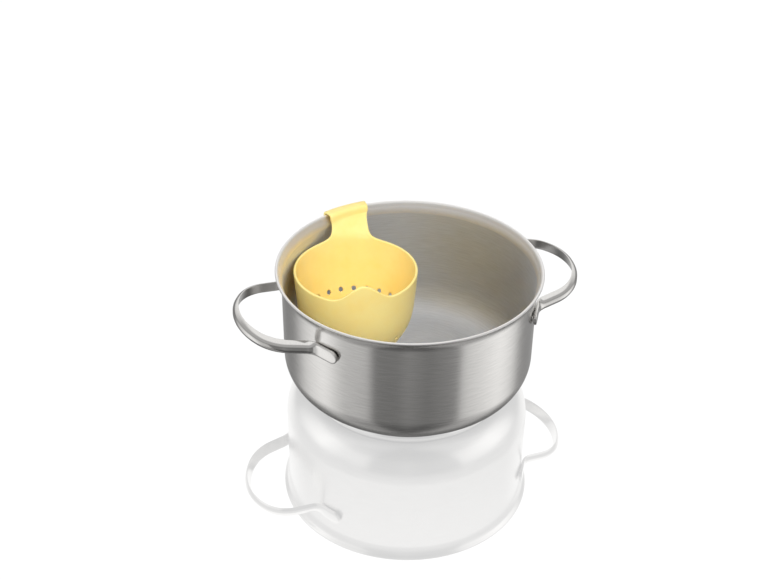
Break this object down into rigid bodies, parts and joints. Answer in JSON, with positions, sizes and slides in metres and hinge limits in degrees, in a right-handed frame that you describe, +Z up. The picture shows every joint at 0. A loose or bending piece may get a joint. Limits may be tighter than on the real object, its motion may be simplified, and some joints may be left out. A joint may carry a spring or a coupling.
{
  "type": "egg poacher pan",
  "caption": "Steel casserole pan with two strap loop handles and a drilled silicone poaching cup hooked on its flared rim.",
  "frame": {"origin": "centre of the pan's underside, on the pan's axis", "axes": "+Z up along the pan's axis, +X through the middle of the right handle, +Y towards the rim where the cup is hooked"},
  "size_m": [0.2826, 0.2141, 0.1105],
  "materials": {
    "pan_body": "satin stainless steel with fine lines round the pan",
    "base_core": "pressed aluminium disc",
    "base_cap": "polished stainless steel capsule",
    "right_handle": "satin polished stainless steel strap",
    "left_handle": "satin polished stainless steel strap",
    "right_handle_welds": "spot weld nuggets",
    "left_handle_welds": "spot weld nuggets",
    "poaching_cup": "translucent yellow silicone"
  },
  "bodies": {
    "pan": {"pan_body": "pan_body", "base_core": "base_core", "base_cap": "base_cap", "right_handle": "right_handle", "left_handle": "left_handle", "right_handle_welds": "right_handle_welds", "left_handle_welds": "left_handle_welds"},
    "cup": {"poaching_cup": "poaching_cup"}
  },
  "joints": [
    {"name": "cup_lift", "type": "slide", "parent": "pan", "child": "cup", "axis": [0, 0, 1], "range_m": [0, 0.12]}
  ]
}
